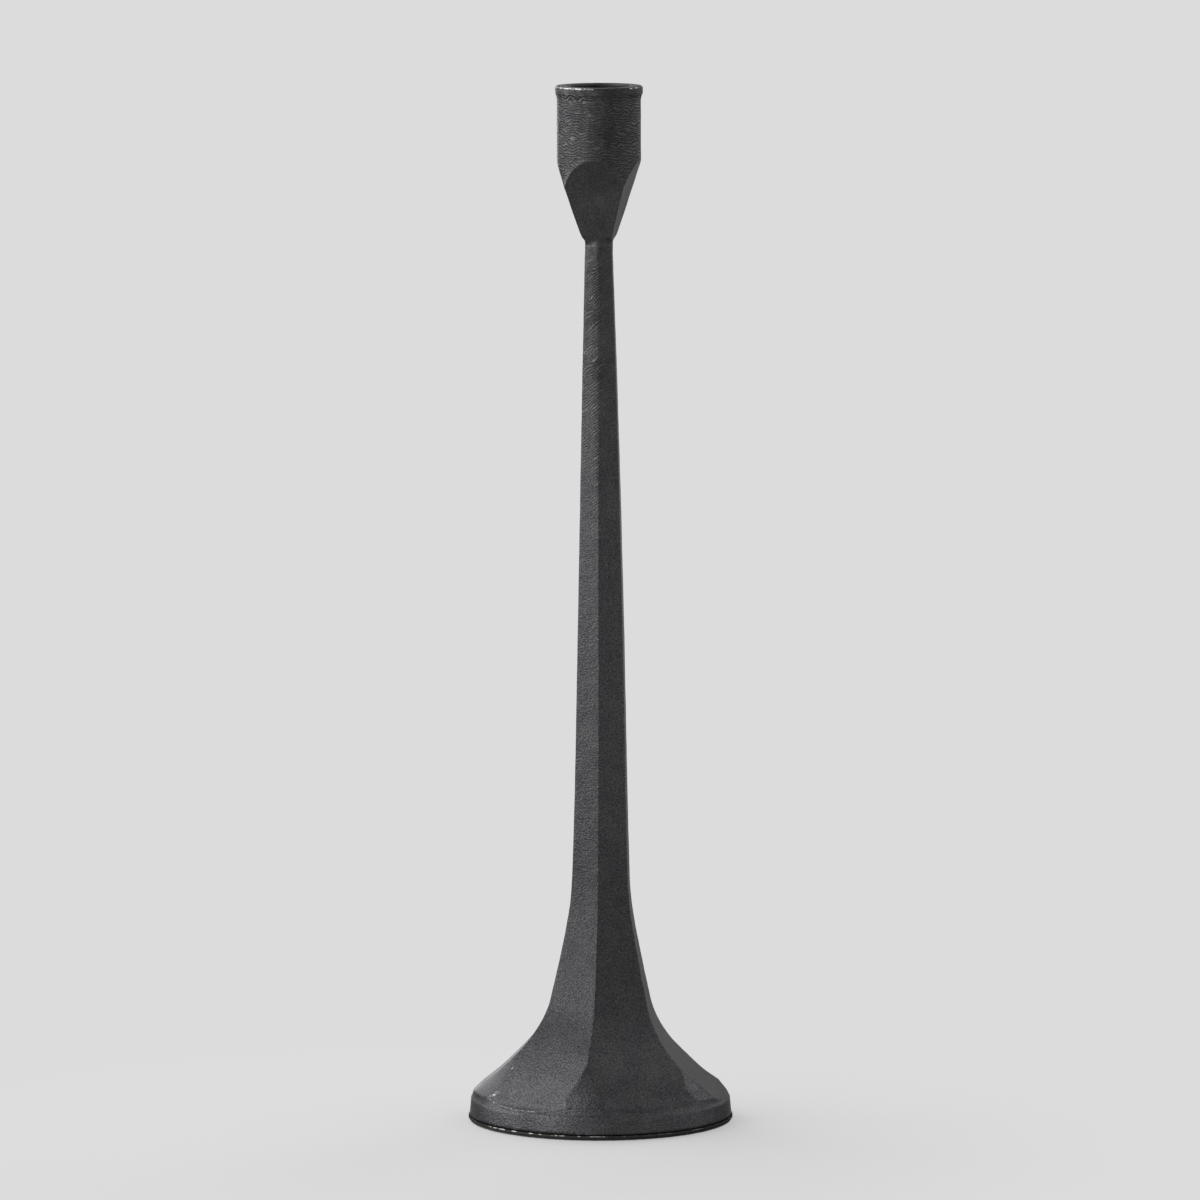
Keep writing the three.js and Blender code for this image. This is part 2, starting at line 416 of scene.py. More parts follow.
def node(tree, kind, inputs=None, stops=(), **settings):
    """Adds a node with its settings and colour stops. An input takes a value, an output, or a
    node, and then that node's first output."""
    made = tree.nodes.new(kind)
    for key, value in settings.items():
        setattr(made, key, value)
    for key, value in (inputs or {}).items():
        source = value.outputs[0] if isinstance(value, bpy.types.Node) else value
        if isinstance(source, bpy.types.NodeSocket):
            tree.links.new(source, made.inputs[key])
        else:
            made.inputs[key].default_value = source
    elements = made.color_ramp.elements if stops else []
    while len(elements) < len(stops):
        elements.new(0.5)
    for element, (place, colour) in zip(elements, stops):
        element.position = place
        element.color = colour if isinstance(colour, list) else (colour, colour, colour, 1)
    return made


def new_material(name):
    material = bpy.data.materials.new(name)
    material.use_nodes = True
    tree = material.node_tree
    shader = tree.nodes["Principled BSDF"]
    return material, tree, shader


def per(size):
    """The scale of a pattern whose grains are this many metres across."""
    return 1 / size


def pitch(size):
    """The scale of a wave whose ridges are this many metres apart."""
    return math.tau / 20 / size


# Heights where the ripples start and are full, and where the stem's slanting ripples turn into
# the cup's level ones
RIPPLES_START, RIPPLES_FULL = 0.2, 0.3
SLANT_END, CUP_START = 0.316, 0.324
RIPPLE = 1.1 * MM
RIPPLE_BEND = 3.3 * MM
RIPPLE_DEPTH = 0.22 * MM


def hammer_ripples(tree, place, high):
    """Ridges a good millimetre apart: wavy rings round the cup, slanting strokes on the stem."""
    across, depth, height = node(tree, "ShaderNodeSeparateXYZ", {"Vector": place}).outputs
    slant = node(
        tree,
        "ShaderNodeMapRange",
        {"Value": height, "From Min": SLANT_END, "From Max": CUP_START, "To Min": -0.9, "To Max": 0.0},
    )
    slanted = node(tree, "ShaderNodeMath", {0: across, 1: slant, 2: height}, operation="MULTIPLY_ADD")
    curl = node(tree, "ShaderNodeMath", {0: slant, 1: 2.4, 2: 8.8}, operation="MULTIPLY_ADD")
    along = node(tree, "ShaderNodeCombineXYZ", {"X": across, "Y": depth, "Z": slanted})
    waves = node(
        tree,
        "ShaderNodeTexWave",
        {
            "Vector": along,
            "Scale": pitch(RIPPLE),
            "Distortion": curl,
            "Detail": 0.0,
            "Detail Scale": 1 / (pitch(RIPPLE) * RIPPLE_BEND),
            "Detail Roughness": 0.5,
        },
        wave_type="BANDS",
        bands_direction="Z",
    ).outputs["Fac"]
    patches = node(
        tree,
        "ShaderNodeTexNoise",
        {"Vector": place, "Scale": per(4 * MM), "Detail": 2.0, "Roughness": 0.5, "Distortion": 0.0},
    )
    breaks = node(tree, "ShaderNodeValToRGB", {"Fac": patches}, stops=[(0.36, 0.45), (0.58, 1.0)])
    broken = node(tree, "ShaderNodeMath", {0: waves, 1: breaks}, operation="MULTIPLY")
    rippled = node(tree, "ShaderNodeAttribute", attribute_name="rippled").outputs["Fac"]
    where = node(tree, "ShaderNodeMath", {0: high, 1: rippled}, operation="MULTIPLY")
    return node(tree, "ShaderNodeMath", {0: broken, 1: where}, operation="MULTIPLY")


def black_skin(tree, place, high, patches, grain, ripples):
    """The black of the casting: a little darker high up, paler on the foot's rim, in the grain's peaks
    and on the ripples' crests, and paler or darker by the painted light and shade that each face, side
    and part is given."""
    dark, pale = 0.3, 0.7
    lower = node(
        tree,
        "ShaderNodeValToRGB",
        {"Fac": patches},
        stops=[(dark, linear("#38383a")), (pale, linear("#404041"))],
    )
    upper = node(
        tree,
        "ShaderNodeValToRGB",
        {"Fac": patches},
        stops=[(dark, linear("#343435")), (pale, linear("#3d3d3e"))],
    )
    height = node(tree, "ShaderNodeSeparateXYZ", {"Vector": place}).outputs["Z"]
    on_foot = node(tree, "ShaderNodeMapRange", {"Value": height, "From Max": RIPPLES_START})
    casting = node(
        tree,
        "ShaderNodeValToRGB",
        {"Fac": on_foot},
        stops=[(0.04, 1.1), (0.08, 1.0), (0.15, 0.96), (0.3, 0.8), (0.4, 0.84), (0.55, 1.0)],
    )
    # Painted light and shade: each place made paler or darker by the tone kept for it, by how the lamps
    # light that side
    painted_light = node(tree, "ShaderNodeAttribute", attribute_name="painted_light").outputs["Fac"]
    painted_light_tint = node(tree, "ShaderNodeValToRGB", {"Fac": painted_light}, stops=[(0.0, 0.6), (1.0, 1.4)])
    speckles = node(tree, "ShaderNodeValToRGB", {"Fac": grain}, stops=[(0.36, 0.53), (0.64, 1.47)])
    crests = node(tree, "ShaderNodeValToRGB", {"Fac": ripples}, stops=[(0.1, 0.82), (0.9, 1.45)])
    fewer_high = node(tree, "ShaderNodeMath", {0: high, 1: 0.25}, operation="MULTIPLY")

    black = node(
        tree, "ShaderNodeMix", {"Factor": high, FIRST: lower, SECOND: upper}, **BLEND
    ).outputs[MIXED]
    cast = node(
        tree, "ShaderNodeMix", {"Factor": 1.0, FIRST: black, SECOND: casting}, **TINT
    ).outputs[MIXED]
    skin = node(
        tree, "ShaderNodeMix", {"Factor": 1.0, FIRST: cast, SECOND: painted_light_tint}, **TINT
    ).outputs[MIXED]
    sandy = node(
        tree, "ShaderNodeMix", {"Factor": 1.0, FIRST: skin, SECOND: speckles}, **TINT
    ).outputs[MIXED]
    plain = node(
        tree, "ShaderNodeMix", {"Factor": fewer_high, FIRST: sandy, SECOND: skin}, **BLEND
    ).outputs[MIXED]
    return node(
        tree, "ShaderNodeMix", {"Factor": 1.0, FIRST: plain, SECOND: crests}, **TINT
    ).outputs[MIXED]


def rubbed_and_glinting_arrises(tree, place, patches, skin):
    """Arrises rubbed paler, and bare in specks where they are rubbed most; the arris mask also carries a
    painted highlight, stronger on the sides that face the lamps.
    """
    arris = node(tree, "ShaderNodeAttribute", attribute_name="arris").outputs["Fac"]
    # Paler arrises: rub wear and painted highlight together
    rub = node(tree, "ShaderNodeValToRGB", {"Fac": arris}, stops=[(0.4, 0.0), (0.95, 0.8)])
    uneven_rub = node(tree, "ShaderNodeValToRGB", {"Fac": patches}, stops=[(0.35, 0.3), (0.65, 1.0)])
    share = node(tree, "ShaderNodeMath", {0: rub, 1: uneven_rub}, operation="MULTIPLY")
    paler = node(
        tree, "ShaderNodeMix", {"Factor": share, FIRST: skin, SECOND: linear("#5c5c5d")}, **BLEND
    ).outputs[MIXED]
    specks = node(
        tree,
        "ShaderNodeTexNoise",
        {"Vector": place, "Scale": per(1 * MM), "Detail": 3.0, "Roughness": 0.7, "Distortion": 0.0},
    )
    worn = node(tree, "ShaderNodeMath", {0: arris, 1: 0.45, 2: specks}, operation="MULTIPLY_ADD")
    bare_and_glint = node(tree, "ShaderNodeValToRGB", {"Fac": worn}, stops=[(0.8, 0.0), (0.88, 0.35), (1.05, 1.0)])
    return node(
        tree, "ShaderNodeMix", {"Factor": bare_and_glint, FIRST: paler, SECOND: linear("#a5a29e")}, **BLEND
    ).outputs[MIXED]


def waxed_cast_iron():
    """Grey iron, sand cast, blackened and waxed: a charcoal skin with a pebbled grain finer than
    a millimetre, hammer ripples on the cup and upper stem, and arrises rubbed paler, with bare
    bright specks. The skin's tone and the arrises' paleness also carry painted light and shade
    and painted highlights. Moulding sand is about 0.2 mm, too fine to show, so it is drawn as
    grains of 0.6 mm and pebbles of 0.9 mm."""
    material, tree, shader = new_material("waxed_cast_iron")
    place = node(tree, "ShaderNodeTexCoord").outputs["Object"]
    height = node(tree, "ShaderNodeSeparateXYZ", {"Vector": place}).outputs["Z"]
    high = node(
        tree,
        "ShaderNodeMapRange",
        {"Value": height, "From Min": RIPPLES_START, "From Max": RIPPLES_FULL},
        interpolation_type="SMOOTHSTEP",
    )
    lying = node(tree, "ShaderNodeMapping", {"Vector": place, "Scale": (1, 1, 1.5)})
    grain = node(
        tree,
        "ShaderNodeTexNoise",
        {"Vector": lying, "Scale": per(0.6 * MM), "Detail": 3.0, "Roughness": 0.6, "Distortion": 0.0},
    )
    pebbles = node(
        tree,
        "ShaderNodeTexVoronoi",
        {"Vector": lying, "Scale": per(0.9 * MM), "Smoothness": 0.6},
        feature="SMOOTH_F1",
    )
    patches = node(
        tree,
        "ShaderNodeTexNoise",
        {"Vector": place, "Scale": per(9 * MM), "Detail": 4.0, "Roughness": 0.6, "Distortion": 0.0},
    )
    ripples = hammer_ripples(tree, place, high)
    skin = black_skin(tree, place, high, patches, grain, ripples)
    colour = rubbed_and_glinting_arrises(tree, place, patches, skin)
    rough = node(tree, "ShaderNodeMapRange", {"Value": patches, "To Min": 0.32, "To Max": 0.44})

    low_share = node(tree, "ShaderNodeValToRGB", {"Fac": high}, stops=[(0.0, 1.0), (1.0, 0.4)])
    low_grain = node(tree, "ShaderNodeMath", {0: grain, 1: low_share}, operation="MULTIPLY")
    low_pebbles = node(tree, "ShaderNodeMath", {0: pebbles, 1: low_share}, operation="MULTIPLY")
    fine = node(
        tree, "ShaderNodeBump", {"Height": low_grain, "Strength": 1.0, "Distance": 0.06 * MM}
    )
    pebbled = node(
        tree,
        "ShaderNodeBump",
        {"Height": low_pebbles, "Strength": 1.0, "Distance": 0.08 * MM, "Normal": fine},
    )
    ridged = node(
        tree,
        "ShaderNodeBump",
        {"Height": ripples, "Strength": 1.0, "Distance": RIPPLE_DEPTH, "Normal": pebbled},
    )
    tree.links.new(colour, shader.inputs["Base Color"])
    tree.links.new(rough.outputs["Result"], shader.inputs["Roughness"])
    tree.links.new(ridged.outputs["Normal"], shader.inputs["Normal"])
    shader.inputs["Metallic"].default_value = 1.0
    shader.inputs["Specular Tint"].default_value = linear("#b0b0b0")
    return material


def blackened_sheet_steel():
    """Mild steel sheet, pressed and blackened: darker and smoother than the casting, its outer
    upper arris rubbed bright in short dashes, which are kept mostly to the left front as a
    painted highlight. The marks of the rolls are finer than the picture shows, so they are drawn
    0.5 mm across."""
    material, tree, shader = new_material("blackened_sheet_steel")
    place = node(tree, "ShaderNodeTexCoord").outputs["Object"]
    smears = node(
        tree,
        "ShaderNodeTexNoise",
        {"Vector": place, "Scale": per(5 * MM), "Detail": 4.0, "Roughness": 0.6, "Distortion": 0.0},
    )
    black = node(
        tree,
        "ShaderNodeValToRGB",
        {"Fac": smears},
        stops=[(0.3, linear("#29292a")), (0.7, linear("#373737"))],
    )
    arris = node(tree, "ShaderNodeAttribute", attribute_name="arris").outputs["Fac"]
    edge = node(tree, "ShaderNodeValToRGB", {"Fac": arris}, stops=[(0.3, 0.0), (0.7, 1.0)])
    knocks = node(
        tree,
        "ShaderNodeTexNoise",
        {"Vector": place, "Scale": per(2.4 * MM), "Detail": 2.0, "Roughness": 0.6, "Distortion": 0.0},
    )
    dashes = node(tree, "ShaderNodeValToRGB", {"Fac": knocks}, stops=[(0.52, 0.02), (0.6, 1.0)])
    # Painted highlight: the bare dashes kept mostly to the left front, where the arris catches the lamps
    aside = node(tree, "ShaderNodeSeparateXYZ", {"Vector": place}).outputs["X"]
    across = node(tree, "ShaderNodeMapRange", {"Value": aside, "From Min": -0.05, "From Max": 0.05})
    glint_side = node(
        tree,
        "ShaderNodeValToRGB",
        {"Fac": across},
        stops=[(0.05, 0.15), (0.14, 1.0), (0.42, 0.9), (0.6, 0.2)],
    )
    dashed = node(tree, "ShaderNodeMath", {0: edge, 1: dashes}, operation="MULTIPLY")
    bare_and_glint = node(tree, "ShaderNodeMath", {0: dashed, 1: glint_side}, operation="MULTIPLY")
    colour = node(
        tree, "ShaderNodeMix", {"Factor": bare_and_glint, FIRST: black, SECOND: linear("#a9a6a1")}, **BLEND
    ).outputs[MIXED]
    rough = node(tree, "ShaderNodeMapRange", {"Value": smears, "To Min": 0.52, "To Max": 0.66})
    rolled = node(
        tree,
        "ShaderNodeTexNoise",
        {"Vector": place, "Scale": per(0.5 * MM), "Detail": 3.0, "Roughness": 0.6, "Distortion": 0.0},
    )
    marks = node(
        tree, "ShaderNodeBump", {"Height": rolled, "Strength": 1.0, "Distance": 0.015 * MM}
    )
    tree.links.new(colour, shader.inputs["Base Color"])
    tree.links.new(rough.outputs["Result"], shader.inputs["Roughness"])
    tree.links.new(marks.outputs["Normal"], shader.inputs["Normal"])
    shader.inputs["Metallic"].default_value = 1.0
    shader.inputs["Specular Tint"].default_value = linear("#8c8c8c")
    return material


def zinc_plated_steel():
    """Bright zinc on a rolled steel screw: pale grey with a faint blue cast and fine streaks."""
    material, tree, shader = new_material("zinc_plated_steel")
    place = node(tree, "ShaderNodeTexCoord").outputs["Object"]
    streaks = node(
        tree,
        "ShaderNodeTexNoise",
        {"Vector": place, "Scale": per(1.2 * MM), "Detail": 4.0, "Roughness": 0.6},
    )
    colour = node(
        tree,
        "ShaderNodeValToRGB",
        {"Fac": streaks},
        stops=[(0.35, linear("#9fa4a8")), (0.7, linear("#c9cccd"))],
    )
    rough = node(tree, "ShaderNodeMapRange", {"Value": streaks, "To Min": 0.25, "To Max": 0.42})
    tree.links.new(colour.outputs["Color"], shader.inputs["Base Color"])
    tree.links.new(rough.outputs["Result"], shader.inputs["Roughness"])
    shader.inputs["Metallic"].default_value = 1.0
    return material


def pressed_felt():
    """Black wool felt, pressed: matt, with a short tangled nap. A wool fibre is 0.02 mm thick, too
    fine to show, so the nap is drawn in tufts of 0.6 mm."""
    material, tree, shader = new_material("pressed_felt")
    place = node(tree, "ShaderNodeTexCoord").outputs["Object"]
    nap = node(
        tree,
        "ShaderNodeTexNoise",
        {"Vector": place, "Scale": per(0.6 * MM), "Detail": 5.0, "Roughness": 0.75, "Distortion": 1.5},
    )
    colour = node(
        tree,
        "ShaderNodeValToRGB",
        {"Fac": nap},
        stops=[(0.35, linear("#161515")), (0.7, linear("#2b2928"))],
    )
    tufts = node(tree, "ShaderNodeBump", {"Height": nap, "Strength": 1.0, "Distance": 0.15 * MM})
    tree.links.new(colour.outputs["Color"], shader.inputs["Base Color"])
    tree.links.new(tufts.outputs["Normal"], shader.inputs["Normal"])
    shader.inputs["Roughness"].default_value = 0.95
    shader.inputs["Sheen Weight"].default_value = 0.15
    return material


def hand_over(piece, body_node, material, sharp):
    """Shades a finished piece, gives it its material and puts it in the frame."""
    select_only(piece)
    bpy.ops.object.shade_smooth_by_angle(angle=math.radians(sharp))
    piece.data.materials.clear()
    piece.data.materials.append(material)
    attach(piece, "root")
    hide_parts(body_node)


# Angle in degrees past which an edge stays sharp: on castings and sheet, screws, and felt
SHARP_CAST, SHARP_SCREW, SHARP_FELT = 40, 25, 60


def foot_levels(count):
    """Apothem of the foot's faces against height: a scoop that eases into the flare."""
    shares = [
        (-0.196, 0),
        (-0.159, 0.07),
        (0.049, 0.1),
        (0.179, 0.145),
        (0.383, 0.222),
        (0.623, 0.343),
        (0.772, 0.465),
        (0.847, 0.599),
        (0.938, 0.805),
        (0.983, 0.927),
        (1, 1),
    ]
    return outline((BAND, CASTING_FLOOR), (STEM_ROOT, STEM_SEAT), shares, count)


def foot_round():
    """The turned form that the faces are cut from: band, shoulder and shallow cone."""
    shares = [(0.039, 0.12), (0.178, 0.165), (0.297, 0.222), (0.391, 0.274), (0.497, 0.355)]
    cone = outline((BAND, CASTING_FLOOR), (STEM_ROOT, STEM_SEAT), shares, 16)
    band_top = (BAND - BAND_DRAFT, CASTING_FLOOR + BAND_HEIGHT)
    corner = (band_top[0] - BAND_DRAFT, between(band_top[1], cone[0].y, SHOULDER_BEND))
    shoulder = rounded(band_top, corner, cone[0], 8)
    core = cone[-1].x
    foot_edge = [(BAND - EDGE, CASTING_FLOOR), (BAND, CASTING_FLOOR + EDGE)]
    return [*foot_edge, *shoulder, *cone[1:], (core, STEM_SEAT)]


def foot_hollow():
    """The hollow under the foot: the faces' form, a wall's thickness inside."""
    roof = STEM_SEAT - ROOF
    least = min(reach for _, reach in FACES)
    sides = [
        (min(apothem * least, BAND) - WALL, height)
        for apothem, height in foot_levels(22)
        if height < roof
    ]
    mouth = (sides[0][0], CASTING_FLOOR - OVERCUT)
    return [mouth, *sides, (sides[-1][0], roof)]


def wear_and_painted_light_foot(foot, levels):
    """Rubs the arrises, with a painted highlight brightest on the left of the shoulder, and paints the
    round parts and the left side paler, a painted light from the left.
    """
    ring_height = CASTING_FLOOR + BAND_HEIGHT - 0.4 * MM
    width = 0.8 * MM
    shoulder_top = CASTING_FLOOR + SHOULDER_TOP
    x, y, z = places_of(foot)
    around = bearing(x, y)
    climb = np.minimum(1, (z - shoulder_top) / (22 * MM))
    # Painted highlight: the arrises and the shoulder on the left, towards the lamps, made brighter than
    # the rest
    ridges = between(np.where((-88 < around) & (around < -50), 0.52, 0.2), 0.45, climb)
    shoulder = np.where((-88 < around) & (around < -30), 0.72, 0.5)
    rub = np.where(z > shoulder_top, ridges, shoulder)

    gaps = gaps_at(foot, FACES, levels, bow_at)
    from_arris = depth_from_arris(np.vstack([gaps, round_gap(foot, foot_round())]))
    ring = 0.8 * near_ring(foot, BAND - BAND_DRAFT, ring_height, width)
    keep(foot, "arris", np.maximum(fading(from_arris, width), ring) * rub)

    # Painted light: the band, the cone and the left side made paler, the band's left end and the left
    # side most, where the left lamps fall
    round_part = np.clip(-gaps.max(axis=0) / (1 * MM), 0, 1)
    left_end = fading(abs(around + 85), 32)
    low = np.clip((60 * MM - z) / (30 * MM), 0, 1)
    left_face = (gaps.argmax(axis=0) == LEFT_SIDE) * (1 - round_part) * low
    painted_tone = face_painted_light(foot, gaps) + round_part * (0.2 + 0.3 * left_end) + 0.35 * left_face
    keep(foot, "painted_light", np.clip(painted_tone, 0, 1))


def make_foot(iron):
    levels = foot_levels(60)
    foot = many_sided("foot_casting", FACES, levels, bow_at)
    cut(foot, turned("round_form", foot_round(), 256), "INTERSECT")
    cut(foot, turned("hollow", foot_hollow()))
    drill = BOLT + FIT
    cut(foot, turned("bolt_hole", [(drill, STEM_SEAT - ROOF - OVERCUT), (drill, STEM_SEAT)], 32))
    reamer = SPIGOT + FIT
    socket = [(reamer, STEM_SEAT - SPIGOT_LENGTH - FIT), (reamer, STEM_SEAT + OVERCUT)]
    cut(foot, turned("socket", socket, 48))
    even_skin(foot, 0.66 * MM)
    seat = 0.3 * MM
    ease(foot, 2, lambda co: CASTING_FLOOR + seat < co.z < STEM_SEAT - seat)
    uneven(foot, SWELL, SWELL_DEPTH, lambda co: co.z > CASTING_FLOOR + 1 * MM)
    wear_and_painted_light_foot(foot, levels)
    hand_over(foot, "base", iron, SHARP_CAST)


def neck_saw(low, high):
    """A disc that cuts a casting off square at the neck."""
    return turned("saw", [(3 * NECK_RADIUS, low), (3 * NECK_RADIUS, high)])


def round_neck(piece):
    """Turns the section nearly round where cup and stem meet."""
    reach = 2 * NECK_BLEND
    form = turned("neck_form", [(NECK_ROUND, NECK - reach), (NECK_ROUND, NECK + reach)], 96)
    fit_to(piece, form, lambda co: NECK_ROUNDNESS * ease_in(1 - abs(co.z - NECK) / NECK_BLEND))


def front_or_back(x, y):
    """1 along the front and the back arris of the stem, 0 at its sides."""
    front_arris = -7
    return abs(math.cos(math.atan2(x, -y) - math.radians(front_arris))) ** 3


def wear_and_painted_light_stem(stem, levels, blurred):
    """Rubs the arrises, ripples along the front and back arrises, fading out below the neck, and paints
    each face's tone, a painted light and shade, darker just below the neck.
    """
    x, y, z = places_of(stem)
    gaps = gaps_at(stem, FACES, levels, bow_at)
    from_arris = depth_from_arris(gaps)
    keep(stem, "arris", fading(from_arris, 0.9 * MM) * np.where(z < blurred, 0.5, 0.3))
    beside = np.clip(2 - 2 * from_arris / (4.2 * MM), 0.2, 1.6)
    below_neck = np.clip((NECK - z) / (7 * MM), 0, 1)
    facing = np.array([front_or_back(*at) for at in zip(x, y)])
    keep(stem, "rippled", beside * (0.1 + 0.9 * facing) * below_neck)
    # Painted light and shade: each face its own tone, and darker just below the neck
    keep(stem, "painted_light", face_painted_light(stem, gaps) - 0.22 * fading(NECK - z, 5 * MM))


def make_stem(iron):
    """The stem, and a longer copy of it that the cup's foot is fitted to."""
    shares = [
        (0, 0),
        (0.072, 0.034),
        (0.225, 0.168),
        (0.441, 0.434),
        (0.73, 0.754),
        (0.892, 0.901),
        (1, 1),
    ]
    levels = outline((STEM_ROOT, STEM_SEAT), (STEM_TOP, NECK), shares, 400)
    over = [(STEM_TOP, NECK + NECK_BLEND * step / 8) for step in range(1, 9)]
    stem = many_sided("stem_casting", FACES, [*levels, *over], bow_at, ridge=0.05, cuts=9)
    blurred = between(STEM_SEAT, NECK, 0.4)
    end = NECK + NECK_BLEND - 0.3 * MM

    def softness(co):
        climb = ease_in((co.z - blurred) / (NECK - blurred))
        return climb * between(0.3, 1, front_or_back(co.x, co.y)) if co.z < end else 0

    ease(stem, 110, softness)
    bpy.ops.object.duplicate()
    collar = just_added("collar")
    cut(stem, neck_saw(NECK, NECK + 2 * NECK_BLEND))
    round_neck(stem)
    uneven(stem, SWELL, SWELL_DEPTH)
    wear_and_painted_light_stem(stem, levels, blurred)
    hand_over(stem, "stem", iron, SHARP_CAST)
    return collar


def cup_levels():
    """Apothem of the cup's scoops against height, and out of the way above them."""
    shares = [
        (0.03, 0),
        (0.04, 0.04),
        (0.075, 0.09),
        (0.146, 0.179),
        (0.339, 0.4),
        (0.519, 0.621),
        (0.63, 0.73),
        (0.77, 0.842),
        (1, 1),
    ]
    top_scoop = (1.033 * CUP, NECK + SCOOP)
    scoop = outline((NECK_APOTHEM, NECK), top_scoop, shares, 40)
    above = [(2 * LIP, between(top_scoop[1], TOP, 0.3)), (2 * LIP, TOP + OVERCUT)]
    return [(scoop[0].x, NECK - OVERCUT), *scoop, *above]


def cup_round():
    """The turned form of the cup, a little too long at its foot."""
    lip_foot = TOP - LIP_DEPTH
    cove = rounded((CUP, lip_foot - COVE), (CUP, lip_foot - COVE / 2), (LIP, lip_foot), 8)
    return [
        (NECK_RADIUS, NECK - OVERCUT),
        (NECK_RADIUS, NECK),
        (0.6 * CUP, NECK + 0.15 * SCOOP),
        (CUP, NECK + 0.5 * SCOOP),
        *cove,
        (LIP, TOP - EDGE),
        (LIP - EDGE, TOP),
    ]


def cup_bore():
    """The candle's bore, with a small fillet round its floor and a broken edge at its mouth."""
    floor = TOP - BORE_DEPTH
    fillet = rounded((BORE - BORE_FILLET, floor), (BORE, floor), (BORE, floor + BORE_FILLET), 6)
    return [*fillet, (BORE, TOP - EDGE), (BORE + EDGE, TOP), (BORE + 2 * EDGE, TOP + OVERCUT)]


def wear_and_painted_light_cup(cup, levels):
    """Rubs the lip's edges bright, with a painted highlight at the left and right of the lip, ripples
    the barrel, leaves the scoops smooth, and paints the barrel paler towards the front left and darker
    towards the front right, a painted light and shade.
    """
    width = 0.9 * MM
    x, y, z = places_of(cup)
    gaps = gaps_at(cup, SCOOPS, levels)
    from_arris = depth_from_arris(np.vstack([gaps, round_gap(cup, cup_round())]))
    outer = near_ring(cup, LIP - EDGE / 2, TOP - EDGE / 2, width)
    inner = 0.7 * near_ring(cup, BORE + EDGE, TOP, width)
    near = np.maximum(fading(from_arris, width), np.maximum(outer, inner))
    # Painted highlight: the lip's arrises brightest on the left and bright on the right, where they face
    # the lamps
    lip_glint = np.where(x < -2 * MM, 1.0, np.where(x > 11 * MM, 0.8, 0.45))
    keep(cup, "arris", near * np.where(z < TOP - 2 * MM, 0.2, lip_glint))

    outside = np.where(np.hypot(x, y) > BORE + 1 * MM, 1, 0.15)
    barrel = np.clip(-gaps.max(axis=0) / (1.5 * MM), 0, 1)
    lip_heights = [TOP - 6 * MM, TOP - 3 * MM, TOP - 0.6 * MM, TOP - 0.4 * MM]
    lip = np.interp(z, lip_heights, [1, 0.5, 0.5, 0.15])
    keep(cup, "rippled", (0.15 + 0.85 * barrel) * outside * lip)

    # Painted light and shade: the barrel paler towards the front left and darker towards the front
    # right, by the way it faces the lamps; the front scoop and the neck paler too
    turns = [-180, -95, -80, -60, -20, 0, 15, 45, 70, 90, 180]
    shares = [0.5, 0.42, 0.45, 0.68, 0.62, 0.48, 0.24, 0.28, 0.5, 0.54, 0.5]
    barrel_painted_light = np.interp(bearing(x, y), turns, shares)
    front_painted_light = np.interp(z, [NECK, NECK + 10 * MM, NECK + SCOOP], [0.95, 0.9, 0.72])
    scoop_painted_light = np.where(gaps.argmax(axis=0) == FRONT_SCOOP, front_painted_light, PLAIN)
    painted_tone = barrel_painted_light * barrel + scoop_painted_light * (1 - barrel)
    keep(cup, "painted_light", between(painted_tone, 0.85, fading(z - NECK, 9 * MM)))


def make_cup(iron, collar):
    """The cup, its foot blended into the stem's section."""
    levels = cup_levels()
    cup = many_sided("cup_casting", SCOOPS, levels)
    cut(cup, turned("round_form", cup_round(), 192), "INTERSECT")
    cut(cup, turned("bore", cup_bore(), 192))
    even_skin(cup, 0.33 * MM)
    ease(cup, 2, lambda co: 1)
    collar_end = NECK - 0.8 * MM
    fit_to(cup, collar, lambda co: 1 - ease_in((co.z - NECK) / NECK_BLEND) if co.z > collar_end else 0)
    round_neck(cup)
    crease, reach = 2 * MM, 4 * MM
    ease(cup, 30, lambda co: ease_in(1 - abs(co.z - NECK - crease) / reach))
    cut(cup, neck_saw(NECK - 2 * MM, NECK))
    uneven(cup, SWELL, SWELL_DEPTH, lambda co: co.z < TOP - 0.2 * MM)
    wear_and_painted_light_cup(cup, levels)
    hand_over(cup, "candle_cup", iron, SHARP_CAST)


def make_plate(steel):
    """Steel disc with a rolled edge, its middle pressed up into a dish for the bolt's head."""
    under, top = plate_low.z, CASTING_FLOOR
    thick, rim = top - under, plate_high.x
    dish_top = plate_high.z
    dish_under = dish_top - thick
    dish_bend, rim_bend = 3 * MM, 2 * MM
    lower = rounded(
        (13 * MM, dish_under), (14.4 * MM, dish_under), (15.2 * MM, dish_under - dish_bend), 6
    )
    foot = rounded((15.9 * MM, under + rim_bend), (16.6 * MM, under), (18.4 * MM, under), 6)
    roll = thick * 0.3
    outer = rounded((rim - roll, under), (rim, under), (rim, under + roll), 5)
    upper = rounded((rim, top - roll), (rim, top), (rim - roll, top), 5)
    foot_top = rounded((19.6 * MM, top), (17.6 * MM, top), (17 * MM, top + rim_bend), 6)
    shoulder = rounded(
        (16.2 * MM, dish_top - dish_bend), (15.4 * MM, dish_top), (13.4 * MM, dish_top), 6
    )
    hole, burr = BOLT + FIT, 0.2 * MM
    mouth = [(hole, dish_top - burr), (hole, dish_under + burr), (hole + burr, dish_under)]
    upper_side = [*upper, *foot_top, *shoulder, (hole + burr, dish_top)]
    profile = [*lower, *foot, *outer, *upper_side, *mouth, lower[0]]
    plate = turned("pressed_plate", profile, 256)
    keep(plate, "arris", near_ring(plate, rim, top, 0.5 * MM))
    hand_over(plate, "base_plate", steel, SHARP_CAST)


